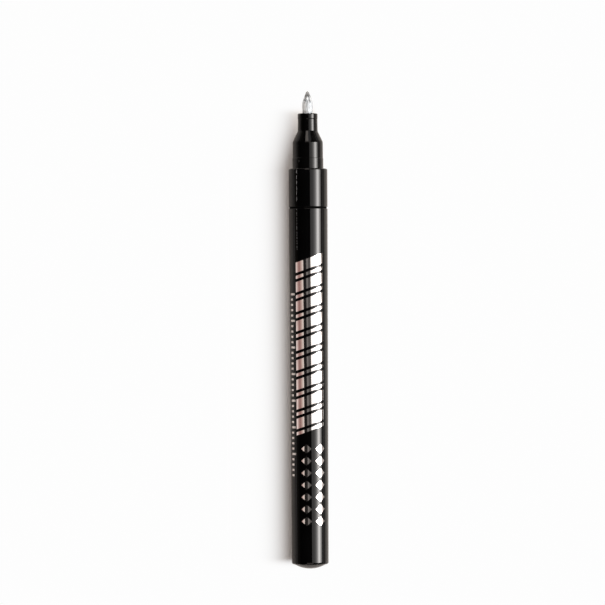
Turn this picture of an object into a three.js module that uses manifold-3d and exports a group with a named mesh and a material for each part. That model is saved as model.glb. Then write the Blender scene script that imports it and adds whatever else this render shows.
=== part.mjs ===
// A slim liquid-chrome paint marker with its cap off, lying on its side.
// Pressing the bullet nib pushes a sprung poppet valve off its seat, which lets paint out of the barrel;
// a steel ball in the barrel stirs the paint when the marker is shaken.
// Sizes are millimetres. The marker's axis is Y, with the nib towards +Y, and it rests on Z = 0.
// Stations along the axis are counted from the barrel's mouth, where the front unit pushes in.
import * as THREE from "three";
import { mergeVertices } from "three/addons/utils/BufferGeometryUtils.js";
import Module from "manifold-3d";

const wasm = await Module();
wasm.setup();

// Fits: radial gaps of pushed-in and of sliding pieces, and the slack past the end of the nib's stroke.
const FIT_GAP = 0.05;
const SLIDE_GAP = 0.08;
const STROKE_SLACK = 0.3;

// How far a cutting tool runs past what it cuts.
const CUT_SPARE = 1.0;

// Small edge breaks on moulded pieces.
const EDGE = 0.12;
const LEAD_IN = 0.3;

// Facets round the turned pieces. A flat always faces down, so the barrel lies on one.
const SHELL_SIDES = 48;
const NIB_SIDES = 32;
const VALVE_SIDES = 32;
const STEM_SIDES = 24;

// Barrel: a tube that narrows from the mouth to the tail, with a wider socket at the mouth.
const BARREL_LENGTH = 100.4;
const BARREL_RADIUS = 5.5;
const BARREL_TAPER = 0.3;
const MOUTH_WALL = 0.95;
const SOCKET_STEP = 0.35;
const SOCKET_SPARE = 1.0;
const TAIL_ROUND = 0.5;
const TAIL_RIM = 0.1;

// Tail plug: a domed flange let into the tail, on a hollow spigot with two sealing ribs.
const DOME_RISE = 1.3;
const PLUG_SEAT_DEPTH = 0.9;
const PLUG_SPIGOT_LENGTH = 5.0;
const PLUG_SPIGOT_GAP = 0.2;
const PLUG_RIB_HEIGHT = 0.15;
const PLUG_RIB_WIDTH = 0.5;
const PLUG_RIB_PITCH = 1.6;
const PLUG_RIB_COUNT = 2;
const PLUG_WALL = 1.0;
const PLUG_FLOOR = 1.2;

// Grip collar: the ring between the seam and the shoulder that the cap seats on.
const SEAM_GAP = 0.5;
const SEAM_DEPTH = 0.25;
const COLLAR_LENGTH = 10.8;
const COLLAR_CORNER = 0.35;
const SHOULDER_WIDTH = 1.13;

// Nose shell: skirt in the barrel, rim in the seam, flange under the collar, snap band for the cap, body,
// cone and neck.
const SKIRT_LENGTH = 8.5;
const NOSE_FLANGE_LENGTH = 4.5;
const NOSE_FLANGE_STEP = 0.45;
const NOSE_LENGTH = 7.6;
const SNAP_BAND_LENGTH = 2.9;
const SNAP_STEP = 0.05;
const NOSE_TAPER = 0.04;
const CONE_LENGTH = 3.0;
const CONE_CORNER = 0.4;
const NECK_LENGTH = 5.0;
const NECK_WALL = 0.72;
const NECK_TAPER = 0.05;
const CAVITY_FRONT_WALL = 2.5;

// O-ring that seals the front unit in the barrel, in a groove round the skirt.
const SEAL_SECTION = 0.26;
const SEAL_SQUEEZE_GAP = 0.015;
const GROOVE_SETBACK = 2.0;
const GROOVE_WIDTH = 0.8;
const SEAL_SECTION_SIDES = 8;

// Nib guide bush: the flanged ring that closes the neck and guides the nib.
const BUSH_FLANGE = 1.5;
const BUSH_SPIGOT = 3.5;
const BUSH_WALL = 0.42;
const BUSH_LIP = 0.04;

// Nib: a bullet point on a round rod.
const NIB_RADIUS = 1.5;
const NIB_EXPOSED = 6.3;
const NIB_TIP_RADIUS = 0.45;
const NIB_POINT_ANGLE = THREE.MathUtils.degToRad(21);
const NIB_SHOULDER_BLEND = 2.5;
const NIB_REAR_BREAK = 0.2;

// Nib holder: a slotted cup that grips the nib's rear end and rides on the valve stem.
const HOLDER_WALL = 0.7;
const HOLDER_FLOOR = 1.2;
const HOLDER_CUP_DEPTH = 4.8;
const HOLDER_FLOW_GAP = 0.35;
const HOLDER_FRONT_ROOM = 1.5;
const HOLDER_SLOT_WIDTH = 0.8;
const HOLDER_SLOT_LENGTH = 2.2;
const HOLDER_SLOT_CUTS = 2;

// Valve: stem with a poppet head and washer, held against a lipped seat by the spring.
const PRESS_TRAVEL = 2.0;
const STEM_RADIUS = 0.7;
const STEM_FLOW_GAP = 0.35;
const STEM_STOP_WIDTH = 0.4;
const STEM_STOP_LENGTH = 0.6;
const STEM_END_SHORT = 0.1;
const LIP_WIDTH = 0.3;
const LIP_HEIGHT = 0.4;
const HEAD_OVERLAP = 0.35;
const HEAD_THICKNESS = 1.2;
const WASHER_THICKNESS = 0.8;
const HEAD_FLOW_GAP = 0.4;
const VALVE_WALL = 0.7;
const SEAT_WALL = 1.2;
const FRONT_TUBE_WALL = 0.7;
const VALVE_FLANGE_THICKNESS = 1.2;
const VALVE_FLANGE_GAP = 0.1;
const VALVE_TAIL = 1.5;
const GASKET_THICKNESS = 0.8;
const GASKET_WIDTH = 0.7;

// Valve spring, and the perforated retainer behind it.
const SPRING_LENGTH = 11.5;
const SPRING_WIRE_RADIUS = 0.2;
const SPRING_TURNS = 9;
const SPRING_END_PITCH = 0.5;
const SPRING_STEPS_PER_TURN = 10;
const SPRING_WIRE_SIDES = 6;
const PILOT_GAP = 0.15;
const PILOT_LENGTH = 1.2;
const RETAINER_THICKNESS = 1.4;
const RETAINER_STEP = 0.3;
const RETAINER_RIM = 0.6;
const INK_HOLE_RADIUS = 0.4;
const INK_HOLE_COUNT = 4;
const INK_HOLE_SIDES = 12;

// Mixing ball, lying in the barrel some way behind the valve.
const BALL_RADIUS = 3.0;
const BALL_REST_GAP = 0.05;
const BALL_BEHIND_VALVE = 20.0;
const BALL_SEGMENTS = 24;
const BALL_RINGS = 14;

// Steps along each rounded corner, the dome and the nib's point.
const CORNER_STEPS = 3;
const DOME_STEPS = 6;
const POINT_STEPS = 4;

// Radii of the outer pieces, worked inwards from the barrel.
const tailRadius = BARREL_RADIUS - BARREL_TAPER;
const socketRadius = BARREL_RADIUS - MOUTH_WALL;
const boreRadius = socketRadius - SOCKET_STEP;
const plugSeatRadius = tailRadius - TAIL_ROUND - TAIL_RIM;
const skirtRadius = socketRadius - FIT_GAP;
const sealRingRadius = socketRadius - SEAL_SQUEEZE_GAP - SEAL_SECTION;
const grooveFloorRadius = sealRingRadius - SEAL_SECTION - SEAL_SQUEEZE_GAP;
const noseRadius = BARREL_RADIUS - SHOULDER_WIDTH;
const noseFlangeRadius = noseRadius + NOSE_FLANGE_STEP;
const seamRimRadius = BARREL_RADIUS - SEAM_DEPTH;

// Radii round the nib and the stem, worked outwards.
const bushBore = NIB_RADIUS + SLIDE_GAP;
const bushSpigotRadius = bushBore + BUSH_WALL;
const neckBore = bushSpigotRadius + FIT_GAP;
const neckRadius = neckBore + NECK_WALL;
const holderBore = NIB_RADIUS + FIT_GAP;
const holderRadius = holderBore + HOLDER_WALL;
const cavityRadius = holderRadius + HOLDER_FLOW_GAP;
const stemHoleRadius = STEM_RADIUS + STEM_FLOW_GAP;
const lipRadius = stemHoleRadius + LIP_WIDTH;
const headRadius = lipRadius + HEAD_OVERLAP;
const chamberRadius = headRadius + HEAD_FLOW_GAP;
const valveRadius = chamberRadius + VALVE_WALL;
const valveBore = valveRadius + FIT_GAP;
const valveFlangeRadius = boreRadius - VALVE_FLANGE_GAP;
const gasketBore = valveFlangeRadius - GASKET_WIDTH;
const retainerBore = chamberRadius + RETAINER_STEP;
const springRadius = headRadius - SPRING_WIRE_RADIUS;
const pilotRadius = springRadius - SPRING_WIRE_RADIUS - PILOT_GAP;

// Stations along the axis.
const tailY = -BARREL_LENGTH;
const shoulderY = SEAM_GAP + COLLAR_LENGTH;
const noseEndY = shoulderY + NOSE_LENGTH;
const coneEndY = noseEndY + CONE_LENGTH;
const neckEndY = coneEndY + NECK_LENGTH;
const bushY = neckEndY - BUSH_FLANGE;
const nibTipY = neckEndY + NIB_EXPOSED;
const cavityFrontY = coneEndY - CAVITY_FRONT_WALL;
const holderY = cavityFrontY - HOLDER_FRONT_ROOM - HOLDER_CUP_DEPTH - HOLDER_FLOOR;
const nibRearY = holderY + HOLDER_FLOOR;
const valveFrontY = holderY - PRESS_TRAVEL - STROKE_SLACK;
const gasketY = -SKIRT_LENGTH - GASKET_THICKNESS;
const valveRearY = gasketY - VALVE_FLANGE_THICKNESS - VALVE_TAIL;
const retainerFrontY = valveRearY + RETAINER_RIM + RETAINER_THICKNESS;
const headY = retainerFrontY + SPRING_LENGTH;
const washerY = headY + HEAD_THICKNESS;
const lipY = washerY + WASHER_THICKNESS;
const ballY = valveRearY - BALL_BEHIND_VALVE;

// Plastics, fibre, rubber and metal, coloured as in the photograph where they show.
function finish(color, roughness, metalness = 0) {
  return new THREE.MeshStandardMaterial({ color, roughness, metalness });
}

const glossBlack = finish(0x0c0c0d, 0.22);
const satinBlack = finish(0x121213, 0.34);
const plugBlack = finish(0x161617, 0.3);
const chromedFibre = finish(0xc9cac8, 0.3, 0.85);
const naturalPlastic = finish(0xe6e4dc, 0.4);
const whitePlastic = finish(0xf0efea, 0.35);
const sealRubber = finish(0x1c1c1e, 0.8);
const valveRubber = finish(0x6e2b23, 0.75);
const springSteel = finish(0xb9bbbd, 0.25, 1);
const ballSteel = finish(0xd0d2d4, 0.12, 1);

// Turns a closed profile of [radius, y] points round the axis. The flats lie at the stated radii.
function turned(profile, sides) {
  const step = (2 * Math.PI) / sides;
  const outward = 1 / Math.cos(step / 2);
  const points = profile.map(([radius, y]) => new THREE.Vector2(radius * outward, y));
  return new THREE.LatheGeometry(points, sides, step / 2);
}

// Points on an arc about a centre, from one angle to another. Angle 0 points away from the axis.
function arc([centreRadius, centreY], radius, from, to, steps) {
  return Array.from({ length: steps + 1 }, (_, i) => {
    const angle = from + ((to - from) * i) / steps;
    return [centreRadius + radius * Math.cos(angle), centreY + radius * Math.sin(angle)];
  });
}

function piece(name, geometry, material, y = 0) {
  const mesh = new THREE.Mesh(geometry, material);
  mesh.name = name;
  mesh.position.y = y;
  return mesh;
}

// A geometry as a solid that can be cut and joined, and back.
function solidOf(geometry) {
  const bare = new THREE.BufferGeometry();
  bare.setAttribute("position", geometry.getAttribute("position"));
  bare.setIndex(geometry.getIndex());
  const merged = mergeVertices(bare, 1e-4);
  const vertProperties = merged.getAttribute("position").array;
  const triVerts = new Uint32Array(merged.getIndex().array);
  return new wasm.Manifold(new wasm.Mesh({ numProp: 3, vertProperties, triVerts }));
}

function geometryOf(solid) {
  const { vertProperties, triVerts } = solid.getMesh();
  const geometry = new THREE.BufferGeometry();
  geometry.setAttribute("position", new THREE.BufferAttribute(vertProperties, 3));
  geometry.setIndex(new THREE.BufferAttribute(triVerts, 1));
  return geometry;
}

// The barrel's profile starts at the tail, runs up the outside to the mouth and comes back down the bore.
function barrelTube() {
  const roundCentre = [tailRadius - TAIL_ROUND, tailY + TAIL_ROUND];
  const profile = [
    [plugSeatRadius, tailY],
    ...arc(roundCentre, TAIL_ROUND, -Math.PI / 2, 0, CORNER_STEPS),
    [BARREL_RADIUS, -EDGE],
    [BARREL_RADIUS - EDGE, 0],
    [socketRadius, 0],
    [socketRadius, -SKIRT_LENGTH - SOCKET_SPARE],
    [boreRadius, -SKIRT_LENGTH - SOCKET_SPARE],
    [boreRadius, tailY + PLUG_SEAT_DEPTH],
    [plugSeatRadius, tailY + PLUG_SEAT_DEPTH],
    [plugSeatRadius, tailY],
  ];
  return piece("barrel_tube", turned(profile, SHELL_SIDES), glossBlack);
}

// The plug is placed at the tail rim: the dome stands behind it and the spigot runs forward into the bore.
function tailPlug() {
  const flangeRadius = plugSeatRadius - FIT_GAP;
  const spigotRadius = boreRadius - PLUG_SPIGOT_GAP;
  const cupRadius = spigotRadius - PLUG_WALL;
  const spigotEnd = PLUG_SEAT_DEPTH + PLUG_SPIGOT_LENGTH;
  const domeRadius = (flangeRadius ** 2 + DOME_RISE ** 2) / (2 * DOME_RISE);
  const domeHalfAngle = Math.asin(flangeRadius / domeRadius);
  const domeEdge = -Math.PI / 2 + domeHalfAngle;
  const dome = arc([0, domeRadius - DOME_RISE], domeRadius, -Math.PI / 2, domeEdge, DOME_STEPS);
  dome[0][0] = 0;
  const ribs = Array.from({ length: PLUG_RIB_COUNT }, (_, i) => {
    const y = PLUG_SEAT_DEPTH + PLUG_RIB_PITCH * (i + 1);
    return [
      [spigotRadius, y - PLUG_RIB_WIDTH / 2],
      [spigotRadius + PLUG_RIB_HEIGHT, y],
      [spigotRadius, y + PLUG_RIB_WIDTH / 2],
    ];
  }).flat();
  const profile = [
    ...dome,
    [flangeRadius, PLUG_SEAT_DEPTH],
    [spigotRadius, PLUG_SEAT_DEPTH],
    ...ribs,
    [spigotRadius, spigotEnd - LEAD_IN],
    [spigotRadius - LEAD_IN, spigotEnd],
    [cupRadius, spigotEnd],
    [cupRadius, PLUG_FLOOR],
    [0, PLUG_FLOOR],
  ];
  return piece("tail_plug", turned(profile, SHELL_SIDES), plugBlack, tailY);
}

function gripCollar() {
  const noseHole = noseRadius + FIT_GAP;
  const flangeHole = noseFlangeRadius + FIT_GAP;
  const step = NOSE_FLANGE_LENGTH - SEAM_GAP;
  const cornerCentre = [BARREL_RADIUS - COLLAR_CORNER, COLLAR_LENGTH - COLLAR_CORNER];
  const profile = [
    [flangeHole, 0],
    [BARREL_RADIUS - EDGE, 0],
    [BARREL_RADIUS, EDGE],
    ...arc(cornerCentre, COLLAR_CORNER, 0, Math.PI / 2, CORNER_STEPS),
    [noseHole, COLLAR_LENGTH],
    [noseHole, step],
    [flangeHole, step],
    [flangeHole, 0],
  ];
  return piece("grip_collar", turned(profile, SHELL_SIDES), glossBlack, SEAM_GAP);
}

// The nose shell's profile starts at the skirt's rear end and runs forward to the neck, then back inside.
function noseShell() {
  const snapY = shoulderY + SNAP_BAND_LENGTH;
  const noseFrontRadius = noseRadius - SNAP_STEP - NOSE_TAPER;
  const neckRearRadius = neckRadius + NECK_TAPER;
  const coneAngle = Math.atan2(noseFrontRadius - neckRearRadius, CONE_LENGTH);
  const cornerSetback = CONE_CORNER * Math.tan(coneAngle / 2);
  const cornerCentre = [noseFrontRadius - CONE_CORNER, noseEndY - cornerSetback];
  const profile = [
    [valveBore, -SKIRT_LENGTH],
    [skirtRadius - LEAD_IN, -SKIRT_LENGTH],
    [skirtRadius, -SKIRT_LENGTH + LEAD_IN],
    [skirtRadius, -GROOVE_SETBACK - GROOVE_WIDTH],
    [grooveFloorRadius, -GROOVE_SETBACK - GROOVE_WIDTH],
    [grooveFloorRadius, -GROOVE_SETBACK],
    [skirtRadius, -GROOVE_SETBACK],
    [skirtRadius, 0],
    [seamRimRadius, 0],
    [seamRimRadius, SEAM_GAP],
    [noseFlangeRadius, SEAM_GAP],
    [noseFlangeRadius, NOSE_FLANGE_LENGTH],
    [noseRadius, NOSE_FLANGE_LENGTH],
    [noseRadius, snapY],
    [noseRadius - SNAP_STEP, snapY + SNAP_STEP],
    ...arc(cornerCentre, CONE_CORNER, 0, coneAngle, CORNER_STEPS),
    [neckRearRadius, coneEndY],
    [neckRadius, bushY - EDGE],
    [neckRadius - EDGE, bushY],
    [neckBore, bushY],
    [neckBore, cavityFrontY],
    [cavityRadius, cavityFrontY],
    [cavityRadius, valveFrontY],
    [valveBore, valveFrontY],
    [valveBore, -SKIRT_LENGTH],
  ];
  return piece("nose_shell", turned(profile, SHELL_SIDES), satinBlack);
}

// The bush is placed at the neck's front face, with its flange ahead and its spigot behind.
function nibGuideBush() {
  const flangeRadius = neckRadius + BUSH_LIP;
  const profile = [
    [bushBore, -BUSH_SPIGOT],
    [bushSpigotRadius - EDGE, -BUSH_SPIGOT],
    [bushSpigotRadius, -BUSH_SPIGOT + EDGE],
    [bushSpigotRadius, 0],
    [flangeRadius - EDGE, 0],
    [flangeRadius, EDGE],
    [flangeRadius, BUSH_FLANGE - EDGE],
    [flangeRadius - EDGE, BUSH_FLANGE],
    [bushBore, BUSH_FLANGE],
    [bushBore, -BUSH_SPIGOT],
  ];
  return piece("nib_guide_bush", turned(profile, SHELL_SIDES), satinBlack, bushY);
}

function sealRing() {
  const section = arc([sealRingRadius, 0], SEAL_SECTION, 0, 2 * Math.PI, SEAL_SECTION_SIDES);
  section[SEAL_SECTION_SIDES] = section[0];
  const grooveMiddle = -GROOVE_SETBACK - GROOVE_WIDTH / 2;
  return piece("barrel_seal_ring", turned(section, SHELL_SIDES), sealRubber, grooveMiddle);
}

// The nib is placed at its rear face. Its point is a small ball end, a straight taper and a long shoulder
// blend.
function nib() {
  const length = nibTipY - nibRearY;
  const tipCentre = length - NIB_TIP_RADIUS;
  const taperFrontRadius = NIB_TIP_RADIUS * Math.cos(NIB_POINT_ANGLE);
  const taperFrontY = tipCentre + NIB_TIP_RADIUS * Math.sin(NIB_POINT_ANGLE);
  const blendInset = NIB_SHOULDER_BLEND * (1 - Math.cos(NIB_POINT_ANGLE));
  const taperLength = (NIB_RADIUS - blendInset - taperFrontRadius) / Math.tan(NIB_POINT_ANGLE);
  const shoulderY = taperFrontY - taperLength - NIB_SHOULDER_BLEND * Math.sin(NIB_POINT_ANGLE);
  const blendCentre = [NIB_RADIUS - NIB_SHOULDER_BLEND, shoulderY];
  const tip = arc([0, tipCentre], NIB_TIP_RADIUS, NIB_POINT_ANGLE, Math.PI / 2, POINT_STEPS);
  tip[POINT_STEPS][0] = 0;
  const profile = [
    [0, 0],
    [NIB_RADIUS - NIB_REAR_BREAK, 0],
    [NIB_RADIUS, NIB_REAR_BREAK],
    ...arc(blendCentre, NIB_SHOULDER_BLEND, 0, NIB_POINT_ANGLE, POINT_STEPS),
    ...tip,
  ];
  return piece("nib", turned(profile, NIB_SIDES), chromedFibre, nibRearY);
}

// The holder is placed at its rear face. Crossed slots above the floor let paint reach the nib's rear end.
function nibHolder() {
  const height = HOLDER_FLOOR + HOLDER_CUP_DEPTH;
  const stemHole = STEM_RADIUS + FIT_GAP;
  const cup = turned(
    [
      [stemHole, 0],
      [holderRadius - EDGE, 0],
      [holderRadius, EDGE],
      [holderRadius, height - EDGE],
      [holderRadius - EDGE, height],
      [holderBore, height],
      [holderBore, HOLDER_FLOOR],
      [stemHole, HOLDER_FLOOR],
      [stemHole, 0],
    ],
    VALVE_SIDES,
  );
  let holder = solidOf(cup);
  for (let i = 0; i < HOLDER_SLOT_CUTS; i++) {
    const slot = new THREE.BoxGeometry(2 * (holderRadius + CUT_SPARE), HOLDER_SLOT_LENGTH, HOLDER_SLOT_WIDTH);
    slot.translate(0, HOLDER_FLOOR + HOLDER_SLOT_LENGTH / 2, 0);
    slot.rotateY((Math.PI * i) / HOLDER_SLOT_CUTS);
    holder = holder.subtract(solidOf(slot));
  }
  return piece("nib_holder", geometryOf(holder), whitePlastic, holderY);
}

// The stem is placed at the rear face of its head, with the spring's pilot behind and the rod ahead.
function valveStem() {
  const stopFront = holderY - headY;
  const stopRadius = STEM_RADIUS + STEM_STOP_WIDTH;
  const rodEnd = stopFront + HOLDER_FLOOR - STEM_END_SHORT;
  const profile = [
    [0, -PILOT_LENGTH],
    [pilotRadius - EDGE, -PILOT_LENGTH],
    [pilotRadius, -PILOT_LENGTH + EDGE],
    [pilotRadius, 0],
    [headRadius, 0],
    [headRadius, HEAD_THICKNESS],
    [STEM_RADIUS, HEAD_THICKNESS],
    [STEM_RADIUS, stopFront - STEM_STOP_LENGTH],
    [stopRadius, stopFront - STEM_STOP_LENGTH],
    [stopRadius, stopFront],
    [STEM_RADIUS, stopFront],
    [STEM_RADIUS, rodEnd],
    [0, rodEnd],
  ];
  return piece("valve_stem", turned(profile, STEM_SIDES), naturalPlastic, headY);
}

// A flat ring, placed at its rear face.
function flatRing(name, inner, outer, thickness, sides, material, y) {
  const profile = [
    [inner, 0],
    [outer, 0],
    [outer, thickness],
    [inner, thickness],
    [inner, 0],
  ];
  return piece(name, turned(profile, sides), material, y);
}

// The valve body is placed at the front face of its flange, which clamps the gasket on the skirt's end.
function valveBody() {
  const front = valveFrontY - FIT_GAP - gasketY;
  const rear = valveRearY - gasketY;
  const lip = lipY - gasketY;
  const seatRear = lip + LIP_HEIGHT;
  const seatFront = seatRear + SEAT_WALL;
  const frontTubeBore = valveRadius - FRONT_TUBE_WALL;
  const retainerSeat = retainerFrontY - gasketY;
  const profile = [
    [retainerBore, rear],
    [valveRadius, rear],
    [valveRadius, -VALVE_FLANGE_THICKNESS],
    [valveFlangeRadius, -VALVE_FLANGE_THICKNESS],
    [valveFlangeRadius, 0],
    [valveRadius, 0],
    [valveRadius, front - LEAD_IN],
    [valveRadius - LEAD_IN, front],
    [frontTubeBore, front],
    [frontTubeBore, seatFront],
    [stemHoleRadius, seatFront],
    [stemHoleRadius, lip],
    [lipRadius, lip],
    [lipRadius, seatRear],
    [chamberRadius, seatRear],
    [chamberRadius, retainerSeat],
    [retainerBore, retainerSeat],
    [retainerBore, rear],
  ];
  return piece("valve_body", turned(profile, VALVE_SIDES), whitePlastic, gasketY);
}

// The spring is one helical wire, placed at its rear end, with a close turn at each end and open turns
// between. It just clears the faces that it bears on.
function valveSpring() {
  const openPitch = (SPRING_LENGTH - 2 * SPRING_WIRE_RADIUS - 2 * SPRING_END_PITCH) / (SPRING_TURNS - 2);
  const steps = SPRING_TURNS * SPRING_STEPS_PER_TURN;
  const positions = [];
  for (let i = 0; i <= steps; i++) {
    const turns = i / SPRING_STEPS_PER_TURN;
    const closeTurns = Math.min(turns, 1) + Math.max(turns - SPRING_TURNS + 1, 0);
    const y = SPRING_WIRE_RADIUS + closeTurns * SPRING_END_PITCH + (turns - closeTurns) * openPitch;
    const angle = 2 * Math.PI * turns;
    for (let k = 0; k < SPRING_WIRE_SIDES; k++) {
      const around = (2 * Math.PI * k) / SPRING_WIRE_SIDES;
      const radius = springRadius + SPRING_WIRE_RADIUS * Math.cos(around);
      const height = y + SPRING_WIRE_RADIUS * Math.sin(around);
      positions.push(radius * Math.sin(angle), height, radius * Math.cos(angle));
    }
  }
  const index = [];
  for (let i = 0; i < steps; i++) {
    for (let k = 0; k < SPRING_WIRE_SIDES; k++) {
      const next = (k + 1) % SPRING_WIRE_SIDES;
      const here = i * SPRING_WIRE_SIDES;
      const ahead = here + SPRING_WIRE_SIDES;
      index.push(here + k, ahead + k, ahead + next, here + k, ahead + next, here + next);
    }
  }
  const last = steps * SPRING_WIRE_SIDES;
  for (let k = 1; k < SPRING_WIRE_SIDES - 1; k++) {
    index.push(0, k, k + 1);
    index.push(last, last + k + 1, last + k);
  }
  const geometry = new THREE.BufferGeometry();
  geometry.setAttribute("position", new THREE.Float32BufferAttribute(positions, 3));
  geometry.setIndex(index);
  return piece("valve_spring", geometry, springSteel, retainerFrontY);
}

// The retainer is placed at its front face: a disc with ink holes behind it, and the spring's pilot ahead.
function springRetainer() {
  const discRadius = retainerBore - FIT_GAP;
  const holeCentre = (pilotRadius + discRadius) / 2;
  let retainer = solidOf(
    turned(
      [
        [0, -RETAINER_THICKNESS],
        [discRadius, -RETAINER_THICKNESS],
        [discRadius, 0],
        [pilotRadius, 0],
        [pilotRadius, PILOT_LENGTH - EDGE],
        [pilotRadius - EDGE, PILOT_LENGTH],
        [0, PILOT_LENGTH],
      ],
      VALVE_SIDES,
    ),
  );
  const drill = 2 * (RETAINER_THICKNESS + CUT_SPARE);
  for (let i = 0; i < INK_HOLE_COUNT; i++) {
    const hole = new THREE.CylinderGeometry(INK_HOLE_RADIUS, INK_HOLE_RADIUS, drill, INK_HOLE_SIDES);
    hole.translate(holeCentre, 0, 0);
    hole.rotateY((2 * Math.PI * i) / INK_HOLE_COUNT);
    retainer = retainer.subtract(solidOf(hole));
  }
  return piece("spring_retainer", geometryOf(retainer), whitePlastic, retainerFrontY);
}

function mixingBall() {
  const sphere = new THREE.SphereGeometry(BALL_RADIUS, BALL_SEGMENTS, BALL_RINGS);
  const ball = piece("mixing_ball", sphere, ballSteel, ballY);
  ball.position.z = -(boreRadius - BALL_RADIUS - BALL_REST_GAP);
  return ball;
}

function valveGasket() {
  return flatRing(
    "valve_gasket",
    gasketBore,
    valveFlangeRadius,
    GASKET_THICKNESS,
    VALVE_SIDES,
    valveRubber,
    gasketY,
  );
}

function poppetWasher() {
  return flatRing(
    "poppet_washer",
    STEM_RADIUS + FIT_GAP,
    headRadius,
    WASHER_THICKNESS,
    STEM_SIDES,
    valveRubber,
    washerY,
  );
}

// What stays still, what the nib presses, the nib itself and the loose ball.
const housing = new THREE.Group();
housing.add(
  barrelTube(),
  tailPlug(),
  gripCollar(),
  noseShell(),
  nibGuideBush(),
  sealRing(),
  valveBody(),
  valveGasket(),
  springRetainer(),
  valveSpring(),
);
const plunger = new THREE.Group();
plunger.add(nibHolder(), valveStem(), poppetWasher());

// The origin is under the middle of the marker's length, on the surface that it lies on.
const marker = new THREE.Group();
marker.add(housing, plunger, nib(), mixingBall());
marker.position.set(0, -(nibTipY + tailY - DOME_RISE) / 2, BARREL_RADIUS);

export default marker;
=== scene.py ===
import math
import random

import bmesh
import bpy
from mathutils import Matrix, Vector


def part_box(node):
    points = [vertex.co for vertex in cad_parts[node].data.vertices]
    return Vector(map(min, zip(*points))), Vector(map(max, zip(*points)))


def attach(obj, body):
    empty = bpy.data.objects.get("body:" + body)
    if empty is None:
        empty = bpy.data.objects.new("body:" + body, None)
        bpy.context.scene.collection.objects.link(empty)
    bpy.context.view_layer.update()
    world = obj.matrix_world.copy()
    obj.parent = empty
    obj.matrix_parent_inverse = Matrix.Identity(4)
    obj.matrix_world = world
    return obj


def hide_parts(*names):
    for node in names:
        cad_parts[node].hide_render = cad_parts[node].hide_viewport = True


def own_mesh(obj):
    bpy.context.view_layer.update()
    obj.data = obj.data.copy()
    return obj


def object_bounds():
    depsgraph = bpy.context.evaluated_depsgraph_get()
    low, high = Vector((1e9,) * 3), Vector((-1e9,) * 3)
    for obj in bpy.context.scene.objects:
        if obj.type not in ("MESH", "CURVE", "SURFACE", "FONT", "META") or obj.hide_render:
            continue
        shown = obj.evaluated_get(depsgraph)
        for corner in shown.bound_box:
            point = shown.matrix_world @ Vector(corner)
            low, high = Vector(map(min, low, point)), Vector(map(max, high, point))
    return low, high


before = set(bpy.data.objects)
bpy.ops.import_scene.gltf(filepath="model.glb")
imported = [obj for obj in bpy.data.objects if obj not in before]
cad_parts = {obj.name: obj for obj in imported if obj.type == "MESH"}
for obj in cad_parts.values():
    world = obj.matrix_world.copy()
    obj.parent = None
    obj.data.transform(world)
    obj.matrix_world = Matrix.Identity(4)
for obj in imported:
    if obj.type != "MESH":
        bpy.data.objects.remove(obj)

cad_low, cad_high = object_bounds()

# The camera looks straight down on the marker through a long lens, as in the photograph. It is turned a
# little, because the marker leans to the left there, with its middle right of and below the picture's.
IMAGE_SIDE = 605
PIXELS_PER_METRE = 3536
MARKER_MIDDLE_PIXEL = (308.9, 329.9)
LEAN = math.radians(0.346)
CAMERA_DISTANCE = 0.85
CAMERA_CLIP_START = 0.01
SENSOR_WIDTH = 36

axis_z = (cad_low.z + cad_high.z) / 2
pixels_right = MARKER_MIDDLE_PIXEL[0] - IMAGE_SIDE / 2
pixels_down = MARKER_MIDDLE_PIXEL[1] - IMAGE_SIDE / 2
camera_x = (pixels_down * math.sin(LEAN) - pixels_right * math.cos(LEAN)) / PIXELS_PER_METRE
camera_y = (pixels_down * math.cos(LEAN) + pixels_right * math.sin(LEAN)) / PIXELS_PER_METRE
bpy.ops.object.camera_add(location=(camera_x, camera_y, axis_z + CAMERA_DISTANCE), rotation=(0, 0, -LEAN))
camera = bpy.context.object
camera.name = "camera"
camera.data.sensor_width = SENSOR_WIDTH
camera.data.lens = SENSOR_WIDTH * CAMERA_DISTANCE * PIXELS_PER_METRE / IMAGE_SIDE
camera.data.clip_start = CAMERA_CLIP_START
bpy.context.scene.camera = camera

# The barrel is an injection-moulded tube of glossy black plastic that holds the paint. It narrows a little
# towards the tail. Its rear rim is rounded, and the socket at its mouth takes the skirt of the nose shell.
SIDES = 192
WELD = 1e-6
SMOOTH_ANGLE = math.radians(30)
SOCKET_RADIUS = 0.00455
BORE_RADIUS = 0.0042
SOCKET_DEPTH = 0.0095
TAIL_RADIUS = 0.0052
PLUG_SEAT_RADIUS = 0.0046
PLUG_SEAT_DEPTH = 0.0009
TAIL_ROUND = 0.00048
MOUTH_ROUND = 0.0001
ROUND_STEPS = 5
RING_DISTANCE_IN_ROUNDS = 2
RING_SHARE_LIMIT = 0.4


def select_ring(piece, radius, station):
    """Selects the ring of edges at one radius and one place along the axis, in edit mode."""
    bpy.ops.mesh.select_all(action="DESELECT")
    shape = bmesh.from_edit_mesh(piece.data)
    for vertex in shape.verts:
        reach = math.hypot(vertex.co.x, vertex.co.z - axis_z)
        vertex.select_set(abs(reach - radius) < WELD and abs(vertex.co.y - station) < WELD)
    shape.select_flush(True)
    bmesh.update_edit_mesh(piece.data)


def with_holding_rings(outline, rounds):
    """Adds a ring on each side of a corner to be rounded, two rounds away from it, so that a long face is
    shaded true right up to the round. A face too short for that gets none."""
    sizes = dict(rounds)
    full = []
    for here, there in zip(outline, outline[1:]):
        full.append(here)
        length = math.dist(here, there)
        for corner, other in ((here, there), (there, here)):
            share = RING_DISTANCE_IN_ROUNDS * sizes.get(corner, 0) / length
            if 0 < share < RING_SHARE_LIMIT:
                full.append(tuple(a + (b - a) * share for a, b in zip(corner, other)))
    return full + [outline[-1]]


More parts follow.
